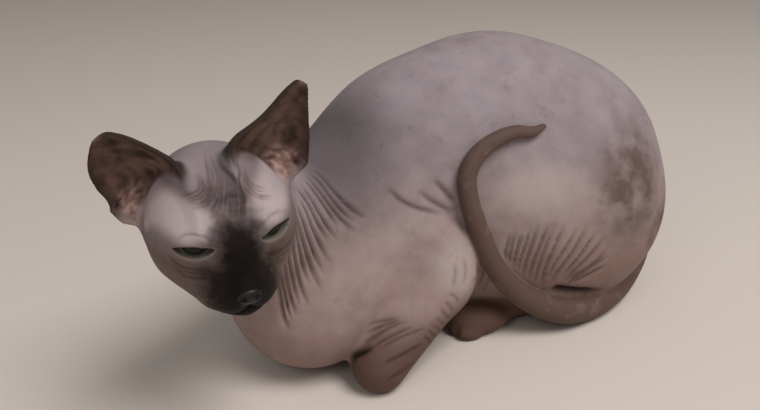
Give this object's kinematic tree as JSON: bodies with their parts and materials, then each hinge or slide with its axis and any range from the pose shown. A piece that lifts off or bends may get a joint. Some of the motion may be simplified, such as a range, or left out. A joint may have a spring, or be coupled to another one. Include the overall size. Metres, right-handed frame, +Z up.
{
  "type": "sphynx cat",
  "caption": "Hairless sphynx cat lying crouched with its head turned to its left and its tail brought up over its flank; a still, life-size display model.",
  "frame": {"origin": "on the floor under the middle of the cat's outline", "axes": "+Z up; the cat's backbone lies along X with the head end toward -X; its left side is toward -Y, where the head is turned"},
  "size_m": [0.3965, 0.2385, 0.2],
  "materials": {
    "skin": "bare wrinkled skin with a faint down, pink-grey with a black-brown face, ears and tail",
    "nose_leather": "damp near-black nose leather",
    "eye": "wet grey-green iris with a dark slit pupil"
  },
  "bodies": {
    "root": {"head": "skin", "nose": "nose_leather", "eye_left": "eye", "eye_right": "eye", "ear_left": "skin", "ear_right": "skin", "neck": "skin", "chest": "skin", "torso": "skin", "upper_foreleg_left": "skin", "upper_foreleg_right": "skin", "forearm_left": "skin", "forearm_right": "skin", "forepaw_left": "skin", "forepaw_right": "skin", "thigh_left": "skin", "thigh_right": "skin", "hind_foot_left": "skin", "hind_foot_right": "skin", "tail_root": "skin", "tail_floor": "skin", "tail_bend": "skin", "tail_upper": "skin", "tail_tip": "skin"}
  },
  "joints": []
}
